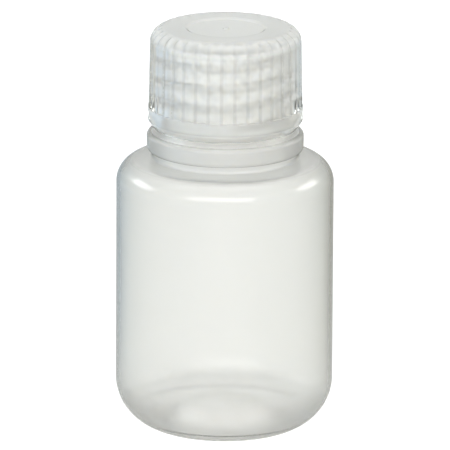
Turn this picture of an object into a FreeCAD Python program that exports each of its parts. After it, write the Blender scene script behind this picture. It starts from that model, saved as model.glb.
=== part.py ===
"""Small laboratory bottle with a ribbed screw cap, both moulded in natural polypropylene.

All lengths are in millimetres. The bottle stands on z = 0 with its axis along +Z, and the cap
is modelled where it seats when it is screwed down on the lip.
"""
import FreeCAD, Part
import math
import os
import Sketcher

OUT = "parts"

# Driving dimensions: name, value, what it is.
SIZES = [
    ("body_diameter", 33.76, "outside of the straight body wall"),
    ("wall", 0.85, "blown wall of the body, shoulder and base"),
    ("base_round", 8.0, "round between the body wall and the base"),
    ("push_up", 3.0, "how far the middle of the base is pushed up"),
    ("standing_ring", 0.9, "flat ring that the bottle stands on, inside the base round"),
    ("push_up_side", 2.7, "how far the push-up's side slopes inwards"),
    ("shoulder_height", 42.57, "where the shoulder's slope would meet the body wall"),
    ("shoulder_slope", 7.2, "rise of the shoulder towards the neck, in degrees"),
    ("shoulder_round", 3.8, "round between the body wall and the shoulder"),
    ("neck_diameter", 22.6, "short neck between the shoulder and the collar"),
    ("neck_wall", 1.0, "wall of that neck"),
    ("collar_diameter", 24.34, "collar that the cap comes down to"),
    ("neck_height", 1.025, "from the shoulder up to the collar"),
    ("collar_height", 2.98, "collar's height"),
    ("collar_bevel", 0.45, "bevel on both edges of the collar"),
    ("finish_diameter", 17.6, "threaded mouth, at the root of its thread"),
    ("finish_height", 14.4, "from the top of the collar to the lip"),
    ("bore_diameter", 15.2, "inside of the mouth"),
    ("bore_end", 1.3, "how far below the collar's top the bore begins to open out"),
    ("thread_diameter", 19.6, "over the crest of the neck thread"),
    ("cap_gap", 0.78, "gap between the collar and the seated cap"),
    ("cap_top_diameter", 23.38, "cap's wall where it would meet the top"),
    ("cap_draft", 1.05, "how much the cap's wall leans in, in degrees"),
    ("cap_top_round", 2.26, "round between the cap's wall and its top"),
    ("cap_panel", 2.08, "thickness of the cap's top"),
    ("band_diameter", 24.0, "plain band below the ribs"),
    ("band_height", 3.24, "from the cap's lower edge to the foot of the ribs"),
    ("band_bevel", 1.17, "height of the bevel on the band's lower edge"),
    ("band_bevel_depth", 0.76, "how far that bevel goes in"),
    ("rib_count", 36, "ribs around the cap, with one flute between each two"),
    ("rib_width", 0.5, "width of a rib's crest at its foot"),
    ("flute_depth", 0.3, "depth of a flute below the crest of the ribs"),
    ("flute_bend", 1.9, "how far below the top a flute turns inwards over the round"),
    ("flute_end_diameter", 19.9, "circle on the level of the top that the flutes run out to"),
    ("cap_turn", 2.0, "how far the first flute is turned from +X, in degrees"),
    ("thread_clearance", 0.25, "between the cap's bore and the crest of the neck thread"),
    ("plug_clearance", 0.15, "between the cap's plug and the mouth's bore"),
    ("plug_wall", 0.9, "wall of the sealing plug inside the cap"),
    ("plug_depth", 2.0, "how far the plug reaches down into the mouth"),
    ("plug_lead", 0.35, "bevel that leads the plug into the mouth"),
    ("recess_diameter", 12.6, "shallow round recess in the cap's top"),
    ("recess_depth", 0.28, "its depth"),
    ("recess_slope", 0.5, "width of its sloping edge"),
    ("gate_diameter", 0.9, "moulding gate's mark in the middle of the recess"),
    ("gate_height", 0.2, "its height"),
]

# Radii and heights that follow from the driving dimensions, as formulas of the sheet.
AXIS = "0"
BASE = "0"
BODY_R = "Sizes.body_diameter / 2"
FOOT_R = f"({BODY_R} - Sizes.base_round - Sizes.standing_ring)"
CROWN_R = f"({FOOT_R} - Sizes.push_up_side)"
NECK_R = "Sizes.neck_diameter / 2"
COLLAR_R = "Sizes.collar_diameter / 2"
FINISH_R = "Sizes.finish_diameter / 2"
BORE_R = "Sizes.bore_diameter / 2"
SLOPE = "tan(Sizes.shoulder_slope)"
NECK_FOOT_Z = f"(Sizes.shoulder_height + ({BODY_R} - {NECK_R}) * {SLOPE})"
COLLAR_Z = f"({NECK_FOOT_Z} + Sizes.neck_height)"
COLLAR_TOP_Z = f"({COLLAR_Z} + Sizes.collar_height)"
LIP_Z = f"({COLLAR_TOP_Z} + Sizes.finish_height)"

# The inside, one wall in from the outside.
NECK_IN_R = f"({NECK_R} - Sizes.neck_wall)"
CAVITY_R = f"({BODY_R} - Sizes.wall)"
BORE_END_Z = f"({COLLAR_TOP_Z} - Sizes.bore_end)"
FLARE_END_Z = f"({BORE_END_Z} - ({NECK_IN_R} - {BORE_R}))"
SKIN_Z = "Sizes.wall / cos(Sizes.shoulder_slope)"
CAVITY_EDGE_Z = f"(Sizes.shoulder_height + Sizes.wall * {SLOPE} - {SKIN_Z})"
CAVITY_NECK_Z = f"({CAVITY_EDGE_Z} + ({CAVITY_R} - {NECK_IN_R}) * {SLOPE})"
FLOOR_Z = "Sizes.wall"
CROWN_IN_Z = "(Sizes.push_up + Sizes.wall)"
SKIN_R = "Sizes.wall * tan(atan(Sizes.push_up / Sizes.push_up_side) / 2)"
FOOT_IN_R = f"({FOOT_R} + {SKIN_R})"
CROWN_IN_R = f"({CROWN_R} + {SKIN_R})"
CORNER_R = f"({BODY_R} - Sizes.base_round)"
CORNER_IN = "(Sizes.base_round - Sizes.wall)"
HAUNCH_R = f"({CORNER_R} + {CORNER_IN} * cos(45))"
HAUNCH_Z = f"(Sizes.base_round - {CORNER_IN} * sin(45))"
EAVES_REACH = "((Sizes.shoulder_round - Sizes.wall) * tan(45 - Sizes.shoulder_slope / 2))"
EAVES_LOW_Z = f"({CAVITY_EDGE_Z} - {EAVES_REACH})"
EAVES_IN_R = f"({CAVITY_R} - {EAVES_REACH} * cos(Sizes.shoulder_slope))"
EAVES_TOP_Z = f"({CAVITY_EDGE_Z} + {EAVES_REACH} * sin(Sizes.shoulder_slope))"

# The cap.
CAP_Z = f"({COLLAR_TOP_Z} + Sizes.cap_gap)"
CAP_TOP_Z = f"({LIP_Z} + Sizes.cap_panel)"
BAND_R = "Sizes.band_diameter / 2"
BAND_TOP_Z = f"({CAP_Z} + Sizes.band_height)"
CAP_TOP_R = "Sizes.cap_top_diameter / 2"
DRAFT = "tan(Sizes.cap_draft)"
RIB_FOOT_R = f"({CAP_TOP_R} + ({CAP_TOP_Z} - {BAND_TOP_Z}) * {DRAFT})"
CAP_BORE_R = "(Sizes.thread_diameter / 2 + Sizes.thread_clearance)"
PLUG_R = f"({BORE_R} - Sizes.plug_clearance)"
PLUG_IN_R = f"({PLUG_R} - Sizes.plug_wall)"
PLUG_END_Z = f"({LIP_Z} - Sizes.plug_depth)"
RECESS_R = "Sizes.recess_diameter / 2"
RECESS_Z = f"({CAP_TOP_Z} - Sizes.recess_depth)"
GATE_TOP_Z = f"({RECESS_Z} + Sizes.gate_height)"

# One flute, between two ribs: up the leaning wall, then slanting in over the top round.
FLUTE_FOOT_R = f"({RIB_FOOT_R} - Sizes.flute_depth)"
FLUTE_BEND_R = f"({CAP_TOP_R} + Sizes.flute_bend * {DRAFT} - Sizes.flute_depth)"
FLUTE_BEND_Z = f"({CAP_TOP_Z} - Sizes.flute_bend)"
FLUTE_OUT_R = f"({BAND_R} + Sizes.flute_depth)"
RIB_ANGLE = f"2 * asin(Sizes.rib_width / 2 / {RIB_FOOT_R})"
FLUTE_ANGLE = f"360 deg / Sizes.rib_count - {RIB_ANGLE}"

doc = FreeCAD.newDocument("lab_bottle")


def make_sheet():
    """The sheet of driving dimensions, one aliased cell for each."""
    sheet = doc.addObject("Spreadsheet::Sheet", "Sizes")
    for row, (name, value, note) in enumerate(SIZES, start=1):
        sheet.set(f"A{row}", name)
        sheet.set(f"B{row}", str(value))
        sheet.set(f"C{row}", note)
        sheet.setAlias(f"B{row}", name)
    doc.recompute()
    return sheet


sheet = make_sheet()


def value(formula):
    """What a formula of the sheet comes to."""
    result = sheet.evalExpression(formula)
    return float(getattr(result, "Value", result))


def settle(feature):
    """Work the document out again and stop if this feature failed."""
    doc.recompute()
    if {"Invalid", "Error"} & set(feature.State):
        raise RuntimeError(f"{feature.Label} failed: {feature.getStatusString()}")
    return feature


def new_body(label):
    body = doc.addObject("PartDesign::Body", label)
    body.Label = label
    return body


def origin_part(body, role):
    """One of the body's own origin planes or axes."""
    return next(part for part in body.Origin.OriginFeatures if part.Role == role)


def new_sketch(body, name, plane="XZ_Plane"):
    sketch = body.newObject("Sketcher::SketchObject", name)
    sketch.AttachmentSupport = [(origin_part(body, plane), "")]
    sketch.MapMode = "FlatFace"
    return sketch


def hold(sketch, constraint, formula):
    """Add a constraint whose size is a formula of the sheet."""
    sketch.setExpression(f"Constraints[{sketch.addConstraint(constraint)}]", formula)


def pin_point(sketch, geometry, point, across, up):
    """Hold one point of a sketch at two formulas of the sheet, or on an axis where one is 0."""
    for kind, axis, formula in (("DistanceX", -2, across), ("DistanceY", -1, up)):
        if formula == "0":
            sketch.addConstraint(Sketcher.Constraint("PointOnObject", geometry, point, axis))
        else:
            place = Sketcher.Constraint(kind, -1, 1, geometry, point, value(formula))
            hold(sketch, place, formula)


def round_corner(before, corner, after, radius):
    """Where a round of this radius starts, ends and has its centre, and which way it turns."""
    back = (before - corner).normalize()
    ahead = (after - corner).normalize()
    half = back.getAngle(ahead) / 2
    reach = radius / math.tan(half)
    centre = corner + (back + ahead).normalize() * (radius / math.sin(half))
    left_turn = (ahead.x * back.y - ahead.y * back.x) > 0
    return corner + back * reach, corner + ahead * reach, centre, left_turn


def draw_outline(sketch, corners):
    """A closed outline through (radius, height) corners, rounded where one gives a round."""
    count = len(corners)
    places = [FreeCAD.Vector(value(c[0]), value(c[1]), 0) for c in corners]
    starts, ends, rounds = list(places), list(places), {}
    for i, corner in enumerate(corners):
        if len(corner) == 3:
            found = round_corner(places[i - 1], places[i], places[(i + 1) % count], value(corner[2]))
            ends[i], starts[i] = found[:2]
            rounds[i] = found[2:]
    for i in range(count):
        sketch.addGeometry(Part.LineSegment(starts[i], ends[(i + 1) % count]), False)
    for i, corner in enumerate(corners):
        if i in rounds:
            add_round(sketch, i, count, places[i], starts[i], ends[i], rounds[i], corner)
        else:
            sketch.addConstraint(Sketcher.Constraint("Coincident", (i - 1) % count, 2, i, 1))
            pin_point(sketch, i, 1, corner[0], corner[1])


def add_round(sketch, i, count, place, leaves, arrives, bend, corner):
    """One rounded corner between two lines, with its sharp corner kept as a held point."""
    centre, left_turn = bend
    first, last = (arrives, leaves) if left_turn else (leaves, arrives)
    start = math.atan2(first.y - centre.y, first.x - centre.x)
    end = math.atan2(last.y - centre.y, last.x - centre.x)
    radius = value(corner[2])
    circle = Part.Circle(centre, FreeCAD.Vector(0, 0, 1), radius)
    arc = sketch.addGeometry(Part.ArcOfCircle(circle, start, end), False)
    sharp = sketch.addGeometry(Part.Point(place), True)
    arrival, departure = (1, 2) if left_turn else (2, 1)
    into = (i - 1) % count
    pin_point(sketch, sharp, 1, corner[0], corner[1])
    sketch.addConstraint(Sketcher.Constraint("PointOnObject", sharp, 1, into))
    sketch.addConstraint(Sketcher.Constraint("PointOnObject", sharp, 1, i))
    sketch.addConstraint(Sketcher.Constraint("Tangent", into, 2, arc, arrival))
    sketch.addConstraint(Sketcher.Constraint("Tangent", arc, departure, i, 1))
    hold(sketch, Sketcher.Constraint("Radius", arc, radius), corner[2])


def turned(body, name, corners, cut=False):
    """A feature that turns the outline about the body's axis: a whole ring, or one cut of a ring."""
    sketch = new_sketch(body, name + "_section")
    draw_outline(sketch, corners)
    feature = body.newObject("PartDesign::Groove" if cut else "PartDesign::Revolution", name)
    feature.Profile = sketch
    feature.ReferenceAxis = (sketch, ["V_Axis"])
    feature.Angle = 360.0
    return feature


def make_bottle():
    """The bottle's whole wall as one outline: up the outside, over the lip, down the inside."""
    body = new_body("bottle")
    settle(turned(body, "wall", [
        (AXIS, "Sizes.push_up"),
        (CROWN_R, "Sizes.push_up"),
        (FOOT_R, BASE),
        (BODY_R, BASE, "Sizes.base_round"),
        (BODY_R, "Sizes.shoulder_height", "Sizes.shoulder_round"),
        (NECK_R, NECK_FOOT_Z),
        (NECK_R, COLLAR_Z),
        (f"{COLLAR_R} - Sizes.collar_bevel", COLLAR_Z),
        (COLLAR_R, f"{COLLAR_Z} + Sizes.collar_bevel"),
        (COLLAR_R, f"{COLLAR_TOP_Z} - Sizes.collar_bevel"),
        (f"{COLLAR_R} - Sizes.collar_bevel", COLLAR_TOP_Z),
        (FINISH_R, COLLAR_TOP_Z),
        (FINISH_R, LIP_Z),
        (BORE_R, LIP_Z),
        (BORE_R, BORE_END_Z),
        (NECK_IN_R, FLARE_END_Z),
        (NECK_IN_R, CAVITY_NECK_Z),
        (EAVES_IN_R, EAVES_TOP_Z),
        (CAVITY_R, EAVES_LOW_Z),
        (CAVITY_R, "Sizes.base_round"),
        (HAUNCH_R, HAUNCH_Z),
        (CORNER_R, FLOOR_Z),
        (FOOT_IN_R, FLOOR_Z),
        (CROWN_IN_R, CROWN_IN_Z),
        (AXIS, CROWN_IN_Z),
    ]))
    return body


def cap_wall(body):
    """The cap before its ribs: bevelled band, leaning wall, recessed top, plug and plain bore."""
    return settle(turned(body, "wall", [
        (CAP_BORE_R, CAP_Z),
        (f"{BAND_R} - Sizes.band_bevel_depth", CAP_Z),
        (BAND_R, f"{CAP_Z} + Sizes.band_bevel"),
        (BAND_R, BAND_TOP_Z),
        (RIB_FOOT_R, BAND_TOP_Z),
        (CAP_TOP_R, CAP_TOP_Z, "Sizes.cap_top_round"),
        (RECESS_R, CAP_TOP_Z),
        (f"{RECESS_R} - Sizes.recess_slope", RECESS_Z),
        ("Sizes.gate_diameter / 2", RECESS_Z),
        ("Sizes.gate_diameter / 3", GATE_TOP_Z),
        (AXIS, GATE_TOP_Z),
        (AXIS, LIP_Z),
        (PLUG_IN_R, LIP_Z),
        (PLUG_IN_R, PLUG_END_Z),
        (f"{PLUG_R} - Sizes.plug_lead", PLUG_END_Z),
        (PLUG_R, f"{PLUG_END_Z} + Sizes.plug_lead"),
        (PLUG_R, LIP_Z),
        (CAP_BORE_R, LIP_Z),
    ]))


def cut_flutes(body, wall):
    """One flute, up the wall and over the top round, then the same between every two ribs."""
    flute = turned(body, "flute", [
        (FLUTE_FOOT_R, BAND_TOP_Z),
        (FLUTE_OUT_R, BAND_TOP_Z),
        (FLUTE_OUT_R, CAP_TOP_Z),
        ("Sizes.flute_end_diameter / 2", CAP_TOP_Z),
        (FLUTE_BEND_R, FLUTE_BEND_Z),
    ], cut=True)
    flute.Midplane = True
    flute.setExpression("Angle", FLUTE_ANGLE)
    settle(flute)
    ring = body.newObject("PartDesign::PolarPattern", "flutes")
    ring.Originals = [flute]
    ring.Axis = (origin_part(body, "Z_Axis"), [""])
    ring.Angle = 360.0
    ring.setExpression("Occurrences", "Sizes.rib_count")
    body.Tip = ring
    settle(ring)
    one = wall.Shape.Volume - flute.Shape.Volume
    every = wall.Shape.Volume - ring.Shape.Volume
    if one <= 0 or not math.isclose(every, one * ring.Occurrences, rel_tol=1e-3):
        raise RuntimeError(f"the flutes took away {every:.3f} mm3, and one of them {one:.3f} mm3")


def make_cap():
    """The cap, turned to where its ribs stand in use."""
    body = new_body("screw_cap")
    cut_flutes(body, cap_wall(body))
    body.setExpression("Placement.Rotation.Angle", "Sizes.cap_turn")
    doc.recompute()
    return body


def check_and_write(bodies):
    """Stop at any failed object or bad shape, then write one file for each piece."""
    failed = [o.Label for o in doc.Objects if {"Invalid", "Error"} & set(o.State)]
    if failed:
        raise RuntimeError("failed objects: " + ", ".join(failed))
    for body in bodies:
        shape = body.Shape
        if shape.isNull() or not shape.isValid() or len(shape.Solids) != 1:
            raise RuntimeError(f"{body.Label} is not one valid solid")
    os.makedirs(OUT, exist_ok=True)
    for body in bodies:
        body.Shape.exportStep(os.path.join(OUT, f"{body.Label}.step"))
        print(f"{body.Label}: {body.Shape.Volume:.1f} mm3")


check_and_write([make_bottle(), make_cap()])
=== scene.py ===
"""Studio view of a small bottle of natural polypropylene with a ribbed screw cap."""

import math

import bmesh
import bpy
from mathutils import Matrix, Vector


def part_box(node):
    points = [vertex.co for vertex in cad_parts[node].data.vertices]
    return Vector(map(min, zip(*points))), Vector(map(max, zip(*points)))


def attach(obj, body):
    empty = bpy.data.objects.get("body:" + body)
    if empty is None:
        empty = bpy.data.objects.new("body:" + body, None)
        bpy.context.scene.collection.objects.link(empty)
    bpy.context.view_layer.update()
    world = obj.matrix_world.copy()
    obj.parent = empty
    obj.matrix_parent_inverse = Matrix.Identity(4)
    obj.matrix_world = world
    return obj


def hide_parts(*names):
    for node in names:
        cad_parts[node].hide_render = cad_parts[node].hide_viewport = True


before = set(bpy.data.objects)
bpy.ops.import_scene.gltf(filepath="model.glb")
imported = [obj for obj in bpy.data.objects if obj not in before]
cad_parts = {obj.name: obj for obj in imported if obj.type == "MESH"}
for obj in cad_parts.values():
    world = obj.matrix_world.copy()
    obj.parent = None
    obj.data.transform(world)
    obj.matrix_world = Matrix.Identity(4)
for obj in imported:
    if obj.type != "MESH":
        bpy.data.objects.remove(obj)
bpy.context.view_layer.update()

MM = 0.001

# The frame, in millimetres.
bottle_low, bottle_high = ([c / MM for c in corner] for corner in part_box("bottle"))
cap_low, cap_high = ([c / MM for c in corner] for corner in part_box("screw_cap"))
BODY_R = (bottle_high[0] - bottle_low[0]) / 2
LIP_Z = bottle_high[2]
BAND_R = (cap_high[0] - cap_low[0]) / 2
CAP_Z = cap_low[2]
CAP_TOP_Z = cap_high[2]

# Bottle, in millimetres.
WALL = 0.85
BASE_ROUND = 8.0
STANDING_RING = 0.9
FOOT_ROUND = 0.6
PUSH_UP = 3.0
PUSH_UP_SIDE = 2.7
CROWN_ROUND = 2.0
SHOULDER_SLOPE = math.radians(7.2)
SHOULDER_ROUND = 3.8
NECK_R = 11.3
NECK_WALL = 1.0
NECK_HEIGHT = 1.025
NECK_ROUND = 0.45
CAP_GAP = 0.78
COLLAR_R = 12.17
COLLAR_HEIGHT = 2.98
COLLAR_LOW_ROUND = 0.7
COLLAR_TOP_ROUND = 0.72
FINISH_R = 8.8
FINISH_ROUND = 0.5
LIP_ROUND = 0.3
BORE_R = 7.6
BORE_END = 1.3
FLARE_ROUND = 0.9

# Radii and heights of the bottle that follow, in millimetres.
FOOT_R = BODY_R - BASE_ROUND - STANDING_RING
CROWN_R = FOOT_R - PUSH_UP_SIDE
NECK_IN_R = NECK_R - NECK_WALL
COLLAR_TOP_Z = CAP_Z - CAP_GAP
COLLAR_Z = COLLAR_TOP_Z - COLLAR_HEIGHT
NECK_FOOT_Z = COLLAR_Z - NECK_HEIGHT
SHOULDER_Z = NECK_FOOT_Z - (BODY_R - NECK_R) * math.tan(SHOULDER_SLOPE)
BORE_END_Z = COLLAR_TOP_Z - BORE_END
FLARE_END_Z = BORE_END_Z - (NECK_IN_R - BORE_R)

# Thread of the mouth and its mate in the cap, in millimetres.
PITCH = 3.175
NECK_THREAD_R = 9.8
NECK_THREAD_LOW_Z = COLLAR_TOP_Z + 2.7
NECK_THREAD_HIGH_Z = LIP_Z - 0.9
CAP_BORE_R = 10.05
CAP_THREAD_R = 9.6
CAP_THREAD_LOW_Z = CAP_Z + 3.5
CAP_THREAD_HIGH_Z = LIP_Z - 1.6
THREAD_FOOT = 1.7
THREAD_CREST = 0.55
THREAD_TURN = math.radians(-90)
THREAD_FADE = math.radians(30)

# Cap, in millimetres.
CAP_TOP_R = 11.69
CAP_DRAFT = math.radians(1.05)
CAP_TOP_ROUND = 2.26
CAP_EDGE_ROUND = 0.2
CAP_BORE_ROUND = 0.4
CAP_BORE_EDGE_ROUND = 0.15
BAND_TOP_Z = CAP_Z + 3.24
BAND_TOP_ROUND = 0.05
BAND_BEVEL = 1.17
BAND_BEVEL_DEPTH = 0.76
BAND_BEVEL_ROUND = 0.4
PLUG_R = 7.45
PLUG_IN_R = 6.55
PLUG_END_Z = LIP_Z - 2.0
PLUG_LEAD = 0.35
PLUG_ROUND = 0.1
PLUG_IN_ROUND = 0.3
PLUG_END_ROUND = 0.2
RECESS_R = 6.3
RECESS_SLOPE = 0.5
RECESS_ROUND = 0.5
RECESS_Z = CAP_TOP_Z - 0.28
GATE_R = 0.55
GATE_TOP_R = 0.35
GATE_TOP_Z = RECESS_Z + 0.2
GATE_ROUND = 0.1

# Ribs and flutes of the cap. The places are the points around one flute and the rib beside it,
# as shares of the way from one flute to the next.
RIB_COUNT = 36
RIB_PITCH = math.tau / RIB_COUNT
RIB_FOOT_R = CAP_TOP_R + (CAP_TOP_Z - BAND_TOP_Z) * math.tan(CAP_DRAFT)
CAP_TURN = math.radians(2.0)
FLUTE_DEPTH = 0.3
FLUTE_R = 1.3
FLUTE_BEND = 1.9
FLUTE_END_R = 9.95
FLUTE_PLACES = (0.0, 0.13, 0.26, 0.35, 0.396, 0.5, 0.604, 0.65, 0.74, 0.87)

# How fine the skins are: steps of rounds, spacings in millimetres and sides, the angle from which
# an edge is sharp, and how near a point is to count as on a wall or on a level.
ARC_STEP = math.radians(5)
HIDDEN_ARC_STEP = math.radians(10)
BOTTLE_SPACING = 1.2
BOTTLE_SIDES = 224
NECK_THREAD_SPACING = 0.16
CAP_THREAD_SPACING = 0.2
SHARP_EDGE = math.radians(32)
NEAR = 0.01
HAIR = 0.001

# Plastic. The skin's tint darkens what is seen at a low angle, and lamps shine through by a share.
BOTTLE_COLOUR = (0.995, 0.99, 0.973)
BOTTLE_SKIN = (0.89, 0.892, 0.885)
BOTTLE_IOR = 1.38
BOTTLE_ROUGHNESS = 0.12
CAP_COLOUR = (0.905, 0.905, 0.895)
CAP_SKIN = (0.965, 0.968, 0.965)
CAP_IOR = 1.22
CAP_ROUGHNESS = 0.07
SKIN_IOR = 1.015
SCATTER_RADIUS = (1.0, 0.95, 0.85)
SCATTER_SCALE = 0.003
LAMP_SHARE = 0.88
INNER_COLOUR = (0.95, 0.95, 0.94)
INNER_DENSITY = 100
CLOUD_SCALE = 90.0
CLOUD_DETAIL = 3.0
CLOUD_TONE = 0.985
CLOUD_BUMP = 0.06
CLOUD_BUMP_DEPTH = 0.0002

# Looks by height: height in millimetres, share of the light that goes through, painted shade inside,
# painted shade outside (on the cap, of the ribs) and roughness inside.
BOTTLE_LOOKS = (
    # Painted shade: the base is darker inside, lightening upwards to 8.5 mm.
    (1.8, 0.8, 0.9, 1, 0.5),
    # Painted contact shadow: a thin dark line round the outside of the foot, about 2 mm up.
    (1.95, 0.8, 0.9, 0.15, 0.5),
    (2.1, 0.8, 0.9, 0.15, 0.5),
    (2.25, 0.8, 0.9, 1, 0.5),
    (3.65, 0.8, 0.92, 0.98, 0.5),
    (5.2, 0.84, 0.96, 0.98, 0.36),
    (8.5, 0.87, 1, 1, 0.13),
    (SHOULDER_Z, 0.87, 1, 1, 0.13),
    (NECK_FOOT_Z - 0.35, 0.42, 1, 1, 0.3),
    # Painted shade: the collar a little darker.
    (COLLAR_Z, 0.55, 0.96, 0.96, 0.3),
    (COLLAR_TOP_Z - 0.35, 0.6, 0.96, 0.96, 0.3),
    # Painted shadow of the cap on the collar top and on the mouth just above it.
    (COLLAR_TOP_Z - 0.05, 0.62, 0.64, 0.64, 0.3),
    (CAP_Z + 0.2, 0.62, 0.64, 0.64, 0.3),
    # Painted shade on the mouth inside the cap, lighter towards 54 mm.
    (CAP_Z + 0.8, 0.55, 0.9, 0.9, 0.3),
    (53, 0.5, 0.93, 0.93, 0.3),
    (54, 0.5, 0.97, 0.97, 0.3),
)
# Painted shade on the cap: a darker band, ribs darker than the flutes above it, and a darker top.
CAP_LOOKS = (
    (CAP_Z + 1.2, 0.86, 1, 1, 0.08),
    (CAP_Z + 1.6, 0.72, 0.9, 0.9, 0.08),
    (BAND_TOP_Z - 0.3, 0.72, 0.9, 0.9, 0.08),
    (BAND_TOP_Z + 0.1, 0.82, 1, 0.82, 0.08),
    (CAP_TOP_Z - 2.4, 0.82, 1, 0.82, 0.08),
    (CAP_TOP_Z - 1.2, 0.5, 0.98, 0.88, 0.08),
    (CAP_TOP_Z - 0.24, 0.25, 0.9, 0.9, 0.08),
    (CAP_TOP_Z - 0.02, 0.25, 0.84, 0.84, 0.08),
)

# Painted shade on the far side of the base seen from within, for the floor's shadow: height in mm and
# shade.
BASE_FAR_PAINTED_SHADE = (
    (1.2, 0.8), (1.8, 0.7), (2.1, 0.7), (2.6, 0.78), (3, 0.68), (3.5, 0.5), (4.1, 0.82), (5.5, 1),
)

# Painted shade on the thread's crests, which are also a little clearer, and on the ribs. The first are
# radii and heights in millimetres, and the ribs' edge is a share of the way from one rib to the next.
CREST_FROM_R, CREST_FULL_R = FINISH_R + 0.1, NECK_THREAD_R - 0.3
MOUTH_FROM_Z, MOUTH_FULL_Z = CAP_Z + 0.3, CAP_Z + 0.8
CREST_SHARE = 0.2
CREST_PAINTED_SHADE = -0.2
RIB_EDGE = (0.08, 0.17)

# Floor, in metres. Seen in or through the bottle, it is white in the middle and has a painted shade
# on each side, a tint that darkens the bottle's edges. BRIGHT is where the white ends and DARK where
# the shade is full, from 0 in the middle to 0.5 at the reach on either side.
WHITE = (1, 1, 1, 1)
FLOOR_SIZE = 6
FLOOR_COLOUR = (0.5, 0.5, 0.5)
FLOOR_ROUGHNESS = 0.9
FLOOR_LIFT = 0.68
FLOOR_REACH = 0.065
FLOOR_BRIGHT = 0.08
FLOOR_DARK = 0.5
# Painted shade seen through the bottle at its left and right edges.
FLOOR_LEFT_PAINTED_SHADE = (0.52, 0.67, 0.81)
FLOOR_RIGHT_PAINTED_SHADE = (0.44, 0.43, 0.36)

# Surroundings, with BRIGHT and DARK from 0 straight ahead to 0.5 straight to the side. From HIGH up
# they light the bottle less and less, down to a share of the light straight above.
WORLD_LIGHT = 0.7
WORLD_HIGH = 0.4
WORLD_TOP_SHARE = 0.35
WORLD_BRIGHT = 0.06
WORLD_DARK = 0.35
WORLD_LEFT = (0.72, 0.82, 0.87)
WORLD_RIGHT = (0.76, 0.755, 0.715)

# Lamps: name, place, width and height in metres, watts and colour.
LAMPS = (
    ("top", (0, -0.05, 1.1), (1.6, 0.14), 1.5, (1, 1, 1)),
    ("front", (-0.1, -1.3, 0.72), (2.0, 0.5), 14, (1, 1, 0.98)),
    ("left", (-0.78, 0.25, 0.4), (0.5, 0.25), 2, (0.96, 0.98, 1)),
    ("right", (0.78, 0.25, 0.4), (0.5, 0.25), 2, (1, 1, 0.97)),
)
LAMP_AIM = (0, 0, 0.03)

# Camera, fitted to the photograph. Distances are in metres and the sensor is in millimetres.
PHOTO_SIZE = 450
PIXELS_PER_MM = 6.44
CAMERA_DISTANCE = 1.6615
CAMERA_TILT = math.radians(15.2)
CAMERA_ROLL = math.radians(0.32)
CAMERA_NEAR = 0.1
CAMERA_FAR = 20
AIM_Z = 0.032
AIM_PIXEL = (224.8, 225.45)
SENSOR = 36.0


def rounded(corners, step):
    """Points of an outline through (radius, height) corners, each with a round where it gives one."""
    places = [Vector(corner[:2]) for corner in corners]
    points = []
    for i, corner in enumerate(corners):
        if len(corner) == 2:
            points.append(places[i])
            continue
        back = (places[i - 1] - places[i]).normalized()
        ahead = (places[(i + 1) % len(places)] - places[i]).normalized()
        half = back.angle(ahead) / 2
        centre = places[i] + (back + ahead).normalized() * (corner[2] / math.sin(half))
        first = places[i] + back * (corner[2] / math.tan(half)) - centre
        turn = (math.pi - 2 * half) * (1 if back.cross(ahead) < 0 else -1)
        count = max(2, math.ceil(abs(turn) / step))
        for k in range(count + 1):
            points.append(centre + Matrix.Rotation(turn * k / count, 2) @ first)
    return points


def evenly(points, spacing):
    """The same points with more between them wherever two are further apart than the spacing."""
    dense = []
    for here, there in zip(points, points[1:]):
        count = max(1, math.ceil((there - here).length / spacing))
        dense += [here.lerp(there, k / count) for k in range(count)]
    return dense + [points[-1]]


def finer_wall(points, radius, spacing):
    """The same points with more between them on the upright wall of one radius."""
    dense = []
    for here, there in zip(points, points[1:]):
        on_wall = abs(here.x - radius) < NEAR and abs(there.x - radius) < NEAR
        dense += evenly([here, there], spacing)[:-1] if on_wall else [here]
    return dense + [points[-1]]


def ring_of(mesh, point, angles, shape):
    """Corners around the axis for one point of an outline, or one corner on the axis for all."""
    if point.x < HAIR:
        return [mesh.verts.new((0, 0, point.y * MM))] * len(angles)
    ring = []
    for angle in angles:
        out, up = shape(point, angle)
        place = (out * math.cos(angle) * MM, out * math.sin(angle) * MM, up * MM)
        ring.append(mesh.verts.new(place))
    return ring


def lathe(name, stretches, angles):
    """A closed skin that turns an outline around the axis.

    Each stretch of the outline is its points, the shape that moves them as they turn, and 1 if
    it is an outside that is seen, or else 0. The mesh keeps that in its attribute "outside".
    """
    mesh = bmesh.new()
    mark = mesh.verts.layers.float.new("outside")
    rings = []
    for points, shape, outside in stretches:
        for point in points:
            ring = ring_of(mesh, point, angles, shape)
            for corner in ring:
                corner[mark] = outside
            rings.append(ring)
    for low, high in zip(rings, rings[1:] + rings[:1]):
        for k in range(len(angles)):
            n = (k + 1) % len(angles)
            corners = list(dict.fromkeys((low[k], low[n], high[n], high[k])))
            if len(corners) > 2:
                mesh.faces.new(corners)
    bmesh.ops.recalc_face_normals(mesh, faces=mesh.faces)
    for edge in mesh.edges:
        edge.smooth = edge.calc_face_angle(0.0) < SHARP_EDGE
    for face in mesh.faces:
        face.smooth = True
    data = bpy.data.meshes.new(name)
    mesh.to_mesh(data)
    mesh.free()
    piece = bpy.data.objects.new(name, data)
    bpy.context.scene.collection.objects.link(piece)
    return piece


def thread_height(angle, height, low, high, lead):
    """How far a thread stands out at a place on a wall, from 0 at its root to 1 at its crest."""
    turns = (height - low) / PITCH - (angle - lead) / math.tau
    off = (turns - round(turns)) * PITCH
    along = round(turns) * math.tau + (angle - lead)
    left = (high - low) / PITCH * math.tau - along
    fade = max(0.0, min(1.0, along / THREAD_FADE, left / THREAD_FADE))
    slope = (THREAD_FOOT - THREAD_CREST) / 2
    return max(0.0, min(1.0, (THREAD_FOOT / 2 - abs(off)) / slope)) * fade


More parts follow.
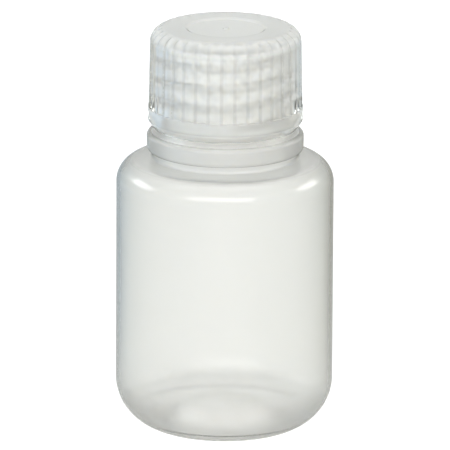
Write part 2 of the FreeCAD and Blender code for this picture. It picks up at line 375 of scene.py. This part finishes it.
def bottle_outline():
    """Outside from the middle of the base to the lip, and then inside back down."""
    skin = WALL / math.cos(SHOULDER_SLOPE)
    cavity_r = BODY_R - WALL
    cavity_z = SHOULDER_Z + WALL * math.tan(SHOULDER_SLOPE) - skin
    cavity_neck_z = cavity_z + (cavity_r - NECK_IN_R) * math.tan(SHOULDER_SLOPE)
    side = WALL * math.tan(math.atan(PUSH_UP / PUSH_UP_SIDE) / 2)
    corners = [
        (0, PUSH_UP),
        (CROWN_R, PUSH_UP, CROWN_ROUND),
        (FOOT_R, 0, FOOT_ROUND),
        (BODY_R, 0, BASE_ROUND),
        (BODY_R, SHOULDER_Z, SHOULDER_ROUND),
        (NECK_R, NECK_FOOT_Z, NECK_ROUND),
        (NECK_R, COLLAR_Z),
        (COLLAR_R, COLLAR_Z, COLLAR_LOW_ROUND),
        (COLLAR_R, COLLAR_TOP_Z, COLLAR_TOP_ROUND),
        (FINISH_R, COLLAR_TOP_Z, FINISH_ROUND),
        (FINISH_R, LIP_Z, LIP_ROUND),
        (BORE_R, LIP_Z, LIP_ROUND),
        (BORE_R, BORE_END_Z, FLARE_ROUND),
        (NECK_IN_R, FLARE_END_Z, FLARE_ROUND),
        (NECK_IN_R, cavity_neck_z),
        (cavity_r, cavity_z, SHOULDER_ROUND - WALL),
        (cavity_r, WALL, BASE_ROUND - WALL),
        (FOOT_R + side, WALL, FOOT_ROUND),
        (CROWN_R + side, PUSH_UP + WALL, CROWN_ROUND + WALL),
        (0, PUSH_UP + WALL),
    ]
    return evenly(rounded(corners, ARC_STEP), BOTTLE_SPACING)


def bottle_shape(point, angle):
    """Adds the thread to the outside of the mouth."""
    on_finish = abs(point.x - FINISH_R) < NEAR and point.y > COLLAR_TOP_Z + FINISH_ROUND
    if not on_finish:
        return point.x, point.y
    out = thread_height(angle, point.y, NECK_THREAD_LOW_Z, NECK_THREAD_HIGH_Z, THREAD_TURN)
    return point.x + out * (NECK_THREAD_R - FINISH_R), point.y


def cap_outside():
    """From the lower edge of the bore out and up to the middle of the top."""
    corners = [
        (CAP_BORE_R, CAP_Z, CAP_BORE_EDGE_ROUND),
        (BAND_R - BAND_BEVEL_DEPTH, CAP_Z, CAP_EDGE_ROUND),
        (BAND_R, CAP_Z + BAND_BEVEL, BAND_BEVEL_ROUND),
        (BAND_R, BAND_TOP_Z, BAND_TOP_ROUND),
        (RIB_FOOT_R, BAND_TOP_Z),
        (CAP_TOP_R, CAP_TOP_Z, CAP_TOP_ROUND),
        (RECESS_R, CAP_TOP_Z, RECESS_ROUND),
        (RECESS_R - RECESS_SLOPE, RECESS_Z, RECESS_ROUND),
        (GATE_R, RECESS_Z),
        (GATE_TOP_R, GATE_TOP_Z, GATE_ROUND),
        (0, GATE_TOP_Z),
    ]
    return rounded(corners, ARC_STEP)


def cap_inside():
    """From the middle out around the plug, and down the bore."""
    corners = [
        (0, LIP_Z),
        (PLUG_IN_R, LIP_Z, PLUG_IN_ROUND),
        (PLUG_IN_R, PLUG_END_Z, PLUG_END_ROUND),
        (PLUG_R - PLUG_LEAD, PLUG_END_Z),
        (PLUG_R, PLUG_END_Z + PLUG_LEAD),
        (PLUG_R, LIP_Z, PLUG_ROUND),
        (CAP_BORE_R, LIP_Z, CAP_BORE_ROUND),
        (CAP_BORE_R, CAP_Z, CAP_BORE_EDGE_ROUND),
    ]
    return finer_wall(rounded(corners, HIDDEN_ARC_STEP), CAP_BORE_R, CAP_THREAD_SPACING)


def flute_bottom(point):
    """Depth of a flute at its middle, and the way that it cuts, for a point of the cap's outline."""
    if point.y < BAND_TOP_Z - HAIR or point.x < FLUTE_END_R:
        return 0.0, (1.0, 0.0)
    round_r = CAP_TOP_R + CAP_TOP_ROUND * (math.tan(CAP_DRAFT) - 1 / math.cos(CAP_DRAFT))
    bend = Vector((CAP_TOP_R + FLUTE_BEND * math.tan(CAP_DRAFT) - FLUTE_DEPTH, CAP_TOP_Z - FLUTE_BEND))
    slant = Vector((FLUTE_END_R, CAP_TOP_Z)) - bend
    facing = Vector((slant.y, -slant.x))
    way = Vector((point.x - round_r, max(0.0, point.y - CAP_TOP_Z + CAP_TOP_ROUND))).normalized()
    past = (point - bend).dot(facing) / way.dot(facing)
    return min(FLUTE_DEPTH, max(0.0, past)) if point.y > bend.y else FLUTE_DEPTH, tuple(way)


def fluted(point, angle):
    """Cuts the flutes into the outside of the cap."""
    depth, way = flute_bottom(point)
    if depth == 0.0:
        return point.x, point.y
    off = (angle - CAP_TURN) / RIB_PITCH
    side = min(abs(off - round(off)) * RIB_PITCH * point.x, FLUTE_R)
    cut = max(0.0, depth - (FLUTE_R - math.sqrt(FLUTE_R ** 2 - side ** 2)))
    return point.x - way[0] * cut, point.y - way[1] * cut


def threaded_bore(point, angle):
    """Adds the thread to the bore of the cap."""
    if abs(point.x - CAP_BORE_R) > NEAR:
        return point.x, point.y
    lead = THREAD_TURN + math.pi
    inwards = thread_height(angle, point.y, CAP_THREAD_LOW_Z, CAP_THREAD_HIGH_Z, lead)
    return point.x - inwards * (CAP_BORE_R - CAP_THREAD_R), point.y


def feed(tree, socket, value):
    """Gives a socket a value of its own, or what another node puts out."""
    if isinstance(value, bpy.types.NodeSocket):
        tree.links.new(value, socket)
    else:
        socket.default_value = value


def calculate(tree, operation, *values):
    """The result of a sum on numbers and on what other nodes put out."""
    node = tree.nodes.new("ShaderNodeMath")
    node.operation = operation
    for socket, value in zip(node.inputs, values):
        feed(tree, socket, value)
    return node.outputs["Value"]


def map_range(tree, value, source, target=(0, 1), interpolation="LINEAR"):
    """A value that goes over the target range as the given one goes over the source range."""
    node = tree.nodes.new("ShaderNodeMapRange")
    node.interpolation_type = interpolation
    names = ("Value", "From Min", "From Max", "To Min", "To Max")
    for name, given in zip(names, (value, *source, *target)):
        feed(tree, node.inputs[name], given)
    return node.outputs["Result"]


def blend(tree, amount, first, second, kind="FLOAT"):
    """Goes from the first value to the second as the amount goes from 0 to 1."""
    node = tree.nodes.new("ShaderNodeMix")
    node.data_type = kind
    for name, given in (("Factor", amount), ("A", first), ("B", second)):
        feed(tree, node.inputs[name], given)
    return node.outputs["Result"]


def blend_shaders(tree, amount, first, second):
    """Goes from the first shader to the second as the amount goes from 0 to 1."""
    node = tree.nodes.new("ShaderNodeMixShader")
    for socket, given in zip(node.inputs, (amount, first, second)):
        tree.links.new(given, socket)
    return node.outputs["Shader"]


def ramp(tree, amount, stops, interpolation="LINEAR"):
    """Colours along (place, colour) stops as the amount goes from 0 to 1."""
    node = tree.nodes.new("ShaderNodeValToRGB")
    node.color_ramp.interpolation = interpolation
    first, *between, last = stops
    for element, (place, colour) in zip(node.color_ramp.elements, (first, last)):
        element.position = place
        element.color = colour
    for place, colour in between:
        node.color_ramp.elements.new(place).color = colour
    tree.links.new(amount, node.inputs["Fac"])
    return node.outputs


def coordinates(tree, space):
    """The place in a space, and the outputs of its X, Y and Z."""
    place = tree.nodes.new("ShaderNodeTexCoord").outputs[space]
    split = tree.nodes.new("ShaderNodeSeparateXYZ")
    tree.links.new(place, split.inputs["Vector"])
    return place, split.outputs


def new_material(name):
    """A material with its node tree and its shader."""
    material = bpy.data.materials.new(name)
    material.use_nodes = True
    return material, material.node_tree, material.node_tree.nodes["Principled BSDF"]


def surface(tree):
    """Place, share of the full height, 1 on the outside, and 1 on a side that is seen from within."""
    place, split = coordinates(tree, "Object")
    height = map_range(tree, split["Z"], (0, CAP_TOP_Z * MM))
    outside = tree.nodes.new("ShaderNodeAttribute")
    outside.attribute_name = "outside"
    back = tree.nodes.new("ShaderNodeNewGeometry").outputs["Backfacing"]
    return place, height, outside.outputs["Fac"], back


def looks_by_height(tree, height, looks):
    """Share of the light that goes through, painted shade inside, painted shade outside and roughness
    inside.
    """
    stops = [(at / CAP_TOP_Z, values) for at, *values in looks]
    colours = ramp(tree, height, stops)
    parts = tree.nodes.new("ShaderNodeSeparateColor")
    tree.links.new(colours["Color"], parts.inputs["Color"])
    return [parts.outputs[name] for name in ("Red", "Green", "Blue")] + [colours["Alpha"]]


def thread_crest(tree):
    """1 on the crests of the mouth's thread, and 0 between them and below the mouth."""
    place, split = coordinates(tree, "Object")
    flat, reach = (tree.nodes.new("ShaderNodeVectorMath") for _ in range(2))
    flat.operation = "MULTIPLY"
    flat.inputs[1].default_value = (1, 1, 0)
    reach.operation = "LENGTH"
    tree.links.new(place, flat.inputs[0])
    tree.links.new(flat.outputs["Vector"], reach.inputs[0])
    radii = (CREST_FROM_R * MM, CREST_FULL_R * MM)
    ridge = map_range(tree, reach.outputs["Value"], radii, interpolation="SMOOTHSTEP")
    mouth = map_range(tree, split["Z"], (MOUTH_FROM_Z * MM, MOUTH_FULL_Z * MM))
    return calculate(tree, "MULTIPLY", ridge, mouth)


def far_painted_shade(tree, height, outside, back):
    """Painted shade on the far wall's outside as it is seen from within, by height, and 1 elsewhere."""
    stops = [(at / CAP_TOP_Z, (painted_shade, painted_shade, painted_shade, 1)) for at, painted_shade in BASE_FAR_PAINTED_SHADE]
    tones = ramp(tree, height, stops)["Color"]
    return blend(tree, calculate(tree, "MULTIPLY", outside, back), 1, tones)


def rib_mask(tree, place):
    """1 on the narrow ribs between the flutes of the cap, and 0 on the flutes."""
    around = tree.nodes.new("ShaderNodeTexGradient")
    around.gradient_type = "RADIAL"
    tree.links.new(place, around.inputs["Vector"])
    turn = 0.5 - CAP_TURN / math.tau * RIB_COUNT
    ribs = calculate(tree, "MULTIPLY_ADD", around.outputs["Fac"], RIB_COUNT, turn)
    beside = calculate(tree, "PINGPONG", ribs, 0.5)
    return map_range(tree, beside, RIB_EDGE, (1, 0))


def set_colour(tree, shader, place, colour, painted_shade):
    """The plastic's colour, made darker by the painted shade and a little uneven by faint clouds."""
    cloud = tree.nodes.new("ShaderNodeTexNoise")
    cloud.inputs["Scale"].default_value = CLOUD_SCALE
    cloud.inputs["Detail"].default_value = CLOUD_DETAIL
    tree.links.new(place, cloud.inputs["Vector"])
    clouded = [c * CLOUD_TONE for c in colour]
    tint = blend(tree, cloud.outputs["Fac"], (*colour, 1), (*clouded, 1), "RGBA")
    # Painted shade darkens the colour here.
    shade_painted = tree.nodes.new("ShaderNodeVectorMath")
    shade_painted.operation = "SCALE"
    tree.links.new(tint, shade_painted.inputs["Vector"])
    tree.links.new(painted_shade, shade_painted.inputs["Scale"])
    tree.links.new(shade_painted.outputs["Vector"], shader.inputs["Base Color"])
    bump = tree.nodes.new("ShaderNodeBump")
    bump.inputs["Strength"].default_value = CLOUD_BUMP
    bump.inputs["Distance"].default_value = CLOUD_BUMP_DEPTH
    tree.links.new(cloud.outputs["Fac"], bump.inputs["Height"])
    tree.links.new(bump.outputs["Normal"], shader.inputs["Normal"])


def set_clearness(tree, shader, share, back):
    """Part of the light goes through from outside, and all from within, less what the wall takes."""
    leaving = calculate(tree, "MAXIMUM", share, back)
    tree.links.new(leaving, shader.inputs["Transmission Weight"])
    volume = tree.nodes.new("ShaderNodeVolumeAbsorption")
    volume.inputs["Color"].default_value = (*INNER_COLOUR, 1)
    volume.inputs["Density"].default_value = INNER_DENSITY
    tree.links.new(volume.outputs["Volume"], tree.nodes["Material Output"].inputs["Volume"])


def let_lamps_through(tree, shader):
    """Lamps shine through the wall by a share, where a clear wall would stop their light."""
    rays = tree.nodes.new("ShaderNodeLightPath")
    stopped = calculate(tree, "MULTIPLY_ADD", rays.outputs["Is Shadow Ray"], -LAMP_SHARE, 1)
    tree.links.new(stopped, shader.inputs["Alpha"])


def set_wall(tree, shader, outside, ior, skin):
    """The wall scatters light within, and its skin darkens the edges."""
    shader.inputs["IOR"].default_value = ior
    shader.inputs["Subsurface Weight"].default_value = 1.0
    shader.inputs["Subsurface Radius"].default_value = SCATTER_RADIUS
    shader.inputs["Subsurface Scale"].default_value = SCATTER_SCALE
    shader.inputs["Coat IOR"].default_value = SKIN_IOR
    shader.inputs["Coat Tint"].default_value = (*skin, 1)
    tree.links.new(outside, shader.inputs["Coat Weight"])


def bottle_plastic():
    """Natural polypropylene, with painted shade on the thread's crests, on the far side of the base and
    by height.
    """
    material, tree, shader = new_material("bottle_natural")
    place, height, outside, back = surface(tree)
    share, painted_shade_in, painted_shade_out, roughness_in = looks_by_height(tree, height, BOTTLE_LOOKS)
    crest = thread_crest(tree)
    marked_share = calculate(tree, "MULTIPLY_ADD", crest, CREST_SHARE, share)
    # Painted shade: the crests of the mouth's thread are darker.
    crest_painted_shade = calculate(tree, "MULTIPLY_ADD", crest, CREST_PAINTED_SHADE, 1)
    near_painted_shade = calculate(tree, "MULTIPLY", blend(tree, outside, painted_shade_in, painted_shade_out), crest_painted_shade)
    painted_shade = calculate(tree, "MULTIPLY", near_painted_shade, far_painted_shade(tree, height, outside, back))
    roughness = map_range(tree, outside, (0, 1), (roughness_in, BOTTLE_ROUGHNESS))
    tree.links.new(roughness, shader.inputs["Roughness"])
    set_colour(tree, shader, place, BOTTLE_COLOUR, painted_shade)
    set_clearness(tree, shader, marked_share, back)
    set_wall(tree, shader, outside, BOTTLE_IOR, BOTTLE_SKIN)
    let_lamps_through(tree, shader)
    return material


def cap_plastic():
    """Natural polypropylene, with painted shade on the ribs and by height."""
    material, tree, shader = new_material("cap_natural")
    place, height, outside, back = surface(tree)
    share, painted_shade_in, painted_shade_out, roughness_in = looks_by_height(tree, height, CAP_LOOKS)
    # Painted shade: the ribs outside take the darker outside shade.
    ribs = calculate(tree, "MULTIPLY", outside, rib_mask(tree, place))
    painted_shade = blend(tree, ribs, painted_shade_in, painted_shade_out)
    roughness = map_range(tree, outside, (0, 1), (roughness_in, CAP_ROUGHNESS))
    tree.links.new(roughness, shader.inputs["Roughness"])
    set_colour(tree, shader, place, CAP_COLOUR, painted_shade)
    set_clearness(tree, shader, share, back)
    set_wall(tree, shader, outside, CAP_IOR, CAP_SKIN)
    let_lamps_through(tree, shader)
    return material


def make_bottle():
    outline = finer_wall(bottle_outline(), FINISH_R, NECK_THREAD_SPACING)
    foot = next(i for i, point in enumerate(outline) if point.x > FOOT_R)
    collar = next(i for i, point in enumerate(outline) if point.y > COLLAR_TOP_Z - NEAR)
    stretches = (
        (outline[:foot], bottle_shape, 0.0),
        (outline[foot:collar + 1], bottle_shape, 1.0),
        (outline[collar + 1:], bottle_shape, 0.0),
    )
    angles = [math.tau * k / BOTTLE_SIDES for k in range(BOTTLE_SIDES)]
    piece = lathe("bottle_shell", stretches, angles)
    piece.data.materials.append(bottle_plastic())
    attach(piece, "bottle")
    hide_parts("bottle")


def make_cap():
    stretches = ((cap_outside(), fluted, 1.0), (cap_inside(), threaded_bore, 0.0))
    angles = [CAP_TURN + math.tau * (k + place) / RIB_COUNT
              for k in range(RIB_COUNT) for place in FLUTE_PLACES]
    piece = lathe("cap_shell", stretches, angles)
    piece.data.materials.append(cap_plastic())
    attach(piece, "cap")
    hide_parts("screw_cap")


def seen_rays(tree):
    """1 for what the camera sees, straight, through or off a clear thing, and 0 for light that falls."""
    rays = tree.nodes.new("ShaderNodeLightPath").outputs
    first = calculate(tree, "MAXIMUM", rays["Is Camera Ray"], rays["Is Glossy Ray"])
    return calculate(tree, "MAXIMUM", first, rays["Is Transmission Ray"])


def side_stops(left, right, bright, dark):
    """Stops from the left tint over white in the middle to the right tint."""
    return (
        (0.5 - dark, (*left, 1)),
        (0.5 - bright, WHITE),
        (0.5 + bright, WHITE),
        (0.5 + dark, (*right, 1)),
    )


def floor_material():
    """A plain pale floor, lifted to white wherever it is seen and no shadow falls.

    Seen in or through the bottle, the lift fades to a painted shade left and right that darkens its
    edges.
    """
    material, tree, shader = new_material("floor_white")
    shader.inputs["Base Color"].default_value = (*FLOOR_COLOUR, 1)
    shader.inputs["Roughness"].default_value = FLOOR_ROUGHNESS
    across = map_range(tree, coordinates(tree, "Object")[1]["X"], (-FLOOR_REACH, FLOOR_REACH))
    stops = side_stops(FLOOR_LEFT_PAINTED_SHADE, FLOOR_RIGHT_PAINTED_SHADE, FLOOR_BRIGHT, FLOOR_DARK)
    sides = ramp(tree, across, stops, "EASE")["Color"]
    straight = tree.nodes.new("ShaderNodeLightPath").outputs["Is Camera Ray"]
    glow, dark = (tree.nodes.new("ShaderNodeEmission") for _ in range(2))
    glow.inputs["Strength"].default_value = FLOOR_LIFT
    dark.inputs["Strength"].default_value = 0
    tree.links.new(blend(tree, straight, sides, WHITE, "RGBA"), glow.inputs["Color"])
    lift = blend_shaders(tree, seen_rays(tree), dark.outputs["Emission"], glow.outputs["Emission"])
    both = tree.nodes.new("ShaderNodeAddShader")
    tree.links.new(shader.outputs["BSDF"], both.inputs[0])
    tree.links.new(lift, both.inputs[1])
    tree.links.new(both.outputs["Shader"], tree.nodes["Material Output"].inputs["Surface"])
    return material


def make_floor():
    bpy.ops.mesh.primitive_plane_add(size=FLOOR_SIZE, location=(0, 0, 0))
    floor = bpy.context.object
    floor.name = "floor"
    floor.data.materials.append(floor_material())


def make_world():
    """Soft studio light with a darker side left and right, and white wherever the camera sees past."""
    world = bpy.data.worlds.new("studio")
    bpy.context.scene.world = world
    world.use_nodes = True
    tree = world.node_tree
    way = coordinates(tree, "Generated")[1]
    stops = side_stops(WORLD_LEFT, WORLD_RIGHT, WORLD_BRIGHT, WORLD_DARK)
    sides = ramp(tree, map_range(tree, way["X"], (-1, 1)), stops, "EASE")["Color"]
    strengths = (WORLD_LIGHT, WORLD_LIGHT * WORLD_TOP_SHARE)
    soft = tree.nodes["Background"]
    tree.links.new(map_range(tree, way["Z"], (WORLD_HIGH, 1), strengths), soft.inputs["Strength"])
    clear, white = (tree.nodes.new("ShaderNodeBackground") for _ in range(2))
    for node in (soft, clear):
        tree.links.new(sides, node.inputs["Color"])
    white.inputs["Color"].default_value = WHITE
    light = [node.outputs["Background"] for node in (soft, clear, white)]
    through = blend_shaders(tree, seen_rays(tree), light[0], light[1])
    straight = tree.nodes.new("ShaderNodeLightPath").outputs["Is Camera Ray"]
    seen = blend_shaders(tree, straight, through, light[2])
    tree.links.new(seen, tree.nodes["World Output"].inputs["Surface"])


def add_lamp(name, place, size, watts, colour):
    lamp = bpy.data.lights.new(name, "AREA")
    lamp.shape = "RECTANGLE"
    lamp.size, lamp.size_y = size
    lamp.energy = watts
    lamp.color = colour
    holder = bpy.data.objects.new(name, lamp)
    holder.location = place
    holder.rotation_euler = (Vector(LAMP_AIM) - Vector(place)).to_track_quat("-Z", "Y").to_euler()
    bpy.context.scene.collection.objects.link(holder)


def make_camera():
    data = bpy.data.cameras.new("camera")
    data.sensor_width = SENSOR
    data.lens = SENSOR * PIXELS_PER_MM * CAMERA_DISTANCE / MM / PHOTO_SIZE
    data.shift_x = (PHOTO_SIZE / 2 - AIM_PIXEL[0]) / PHOTO_SIZE
    data.shift_y = (AIM_PIXEL[1] - PHOTO_SIZE / 2) / PHOTO_SIZE
    data.clip_start = CAMERA_NEAR
    data.clip_end = CAMERA_FAR
    camera = bpy.data.objects.new("camera", data)
    aim = Vector((0, 0, AIM_Z))
    back = Vector((0, -math.cos(CAMERA_TILT), math.sin(CAMERA_TILT)))
    facing = (-back).to_track_quat("-Z", "Y").to_matrix()
    roll = Matrix.Rotation(CAMERA_ROLL, 3, "Z")
    camera.matrix_world = Matrix.Translation(aim + back * CAMERA_DISTANCE) @ (facing @ roll).to_4x4()
    bpy.context.scene.collection.objects.link(camera)
    bpy.context.scene.camera = camera


make_camera()
make_bottle()
make_cap()
make_floor()
make_world()
for lamp in LAMPS:
    add_lamp(*lamp)
bpy.context.scene.view_settings.view_transform = "Standard"
